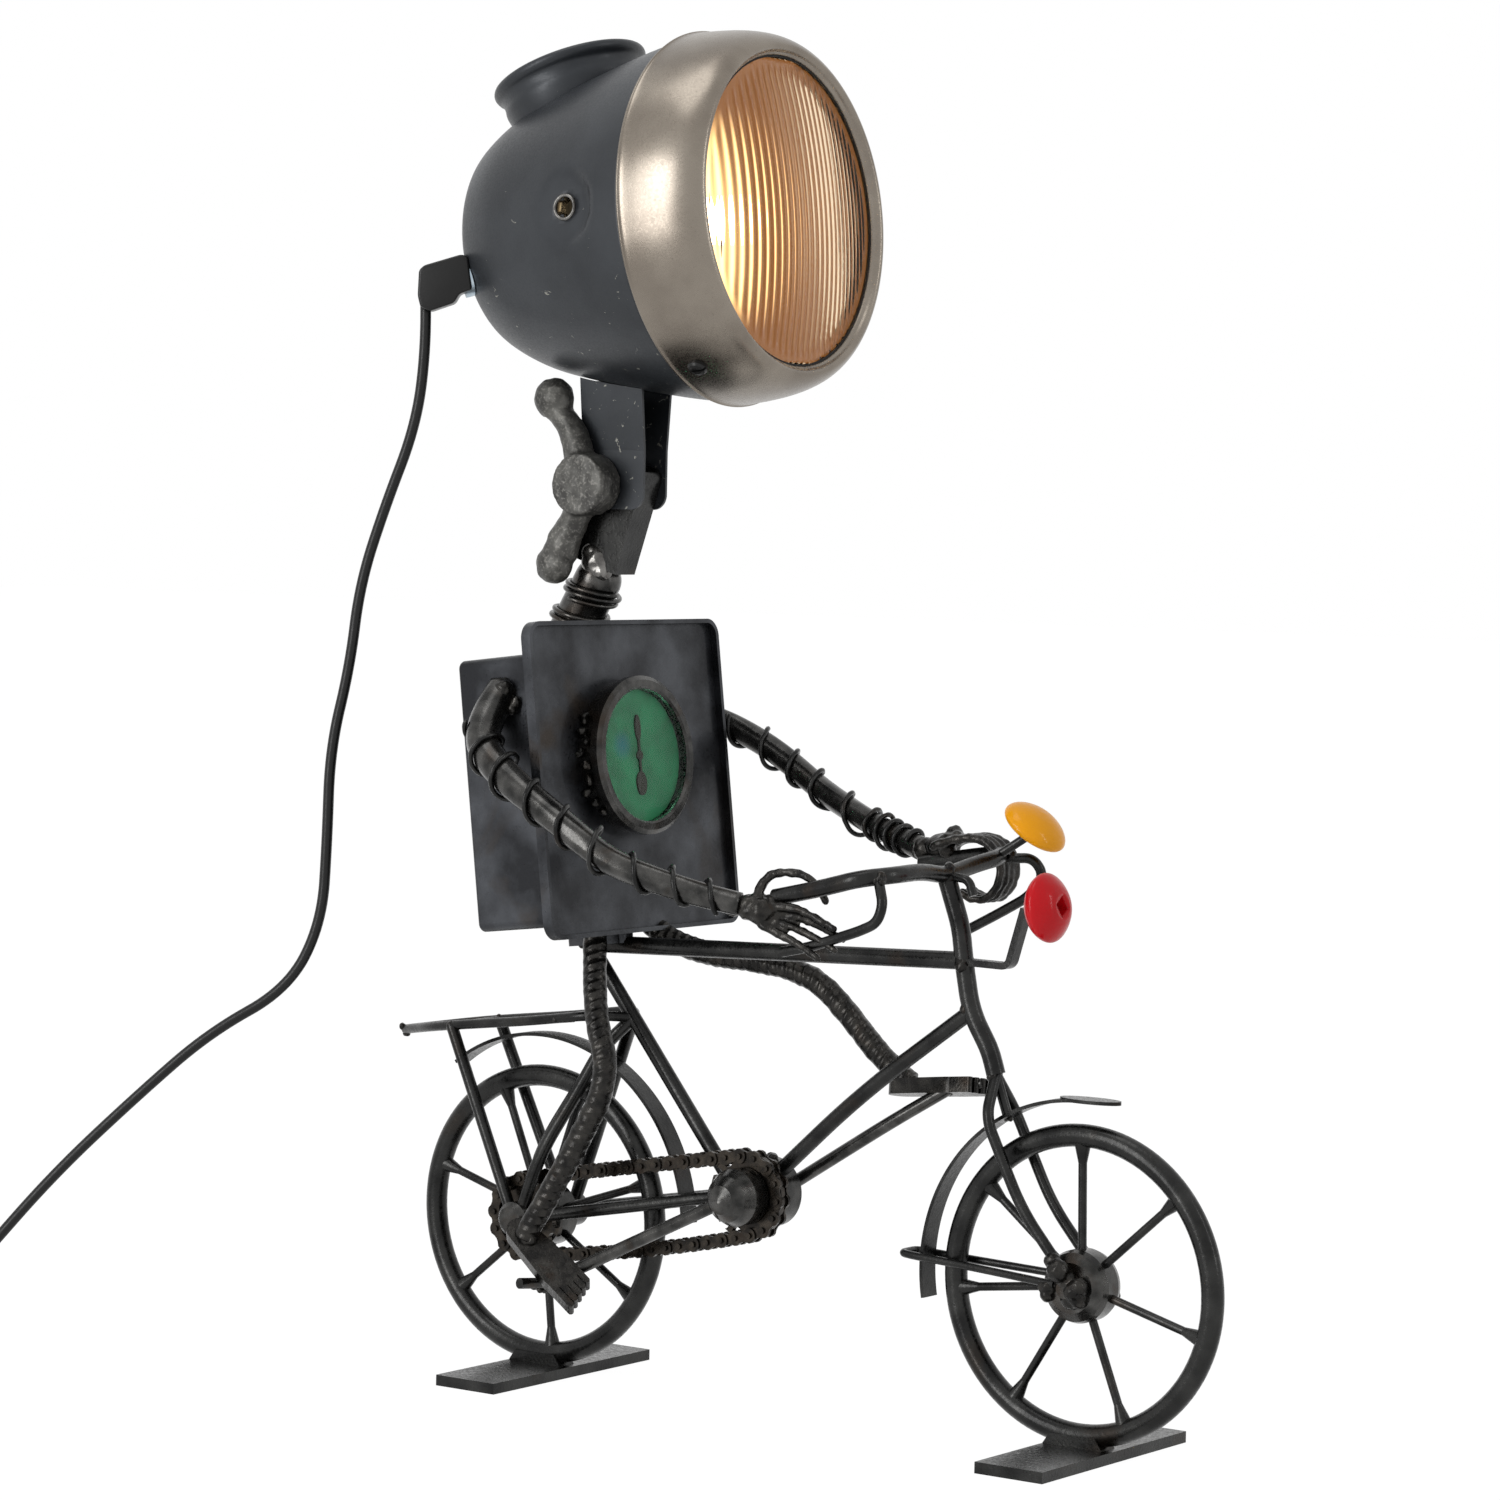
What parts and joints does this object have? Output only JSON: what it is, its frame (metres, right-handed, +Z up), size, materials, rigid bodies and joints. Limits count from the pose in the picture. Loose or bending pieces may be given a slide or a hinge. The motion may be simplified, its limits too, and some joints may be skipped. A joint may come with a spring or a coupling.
{
  "type": "robot figure desk lamp",
  "caption": "Welded steel figure riding a bicycle, with a tilting headlamp for its head, a gauge on its chest and a cord with an inline switch.",
  "frame": {"origin": "on the ground under the rear axle, in the bicycle's mid-plane", "axes": "+X forward along the bicycle, +Y to the rider's left, +Z up"},
  "size_m": [0.7093, 0.3435, 0.6209],
  "materials": {
    "dark_steel": "raw mild steel, blackened by welding and clear varnished",
    "sheet_steel": "mottled blue-grey sheet steel, clear varnished",
    "ground_steel": "ground and polished steel, clear varnished",
    "chain_steel": "oiled roller chain, brownish",
    "cast_metal": "rough casting, brown-grey",
    "grey_paint": "satin blue-grey paint with small chips",
    "satin_nickel": "satin nickel plate",
    "yellow_enamel": "glossy yellow enamel",
    "red_enamel": "glossy red enamel",
    "dial_green": "green printed dial",
    "needle_brown": "near-black paint",
    "clear_glass": "clear glass",
    "lens_glass": "moulded fluted glass",
    "bulb_glass": "warm lamp, lit",
    "mirror_bowl": "silvered reflector",
    "zinc": "zinc plate",
    "black_rubber": "black rubber seal",
    "black_plastic": "moulded black plastic",
    "cord_pvc": "black PVC sheath"
  },
  "bodies": {
    "stand": {"base_plates": "dark_steel", "rear_rim": "dark_steel", "front_rim": "dark_steel", "wheel_spokes": "dark_steel", "wheel_hubs": "ground_steel", "sprockets": "chain_steel", "chain": "chain_steel", "bottom_bracket": "ground_steel", "cranks": "ground_steel", "steerer": "dark_steel", "top_tube": "dark_steel", "down_tube": "dark_steel", "seat_tube": "dark_steel", "rear_stays": "dark_steel", "fork_blades": "dark_steel", "front_mudguard": "dark_steel", "rear_mudguard": "dark_steel", "mudguard_stays": "dark_steel", "carrier_rack": "dark_steel", "handlebar": "dark_steel", "brake_levers": "dark_steel", "bell_stalk": "dark_steel", "bell_cap": "yellow_enamel", "lamp_bracket": "dark_steel", "red_lamp": "red_enamel", "torso_box": "sheet_steel", "chest_panel": "sheet_steel", "gauge_housing": "ground_steel", "gauge_dial": "dial_green", "gauge_needle": "needle_brown", "gauge_glass": "clear_glass", "right_arm": "dark_steel", "left_arm": "dark_steel", "arm_wires": "dark_steel", "hands": "dark_steel", "legs": "dark_steel", "feet": "dark_steel", "neck_bracket": "dark_steel", "neck_tube": "ground_steel", "neck_wire": "dark_steel", "cord": "cord_pvc", "cord_coil": "cord_pvc", "switch_housing": "black_plastic", "plug": "black_plastic"},
    "head": {"headlamp_bowl": "grey_paint", "headlamp_bezel": "satin_nickel", "lens_gasket": "black_rubber", "headlamp_lens": "lens_glass", "reflector": "mirror_bowl", "lamp_holder": "black_plastic", "bulb": "bulb_glass", "bezel_screw": "black_plastic", "head_bracket": "grey_paint", "clamp_bolt": "zinc", "gauge_cup": "ground_steel", "elbow_washer": "zinc", "cord_elbow": "black_plastic"},
    "wing_nut": {"wing_nut": "cast_metal"},
    "switch_rocker": {"switch_rocker": "black_plastic"}
  },
  "joints": [
    {"name": "head_tilt", "type": "hinge", "parent": "stand", "child": "head", "pos_m": [0.03, 0, 0.4156], "axis": [-0.0506, 0.9987, 0], "range_deg": [0, 40], "deforming": ["cord"]},
    {"name": "wing_nut_turn", "type": "hinge", "parent": "head", "child": "wing_nut", "pos_m": [0.03, 0, 0.4156], "axis": [-0.0506, 0.9987, 0], "range_deg": [-120, 0]},
    {"name": "switch_rock", "type": "hinge", "parent": "stand", "child": "switch_rocker", "pos_m": [-0.26191, -0.22557, 0.0135], "axis": [-0.5855, 0.8107, 0], "range_deg": [-20, 0]}
  ]
}
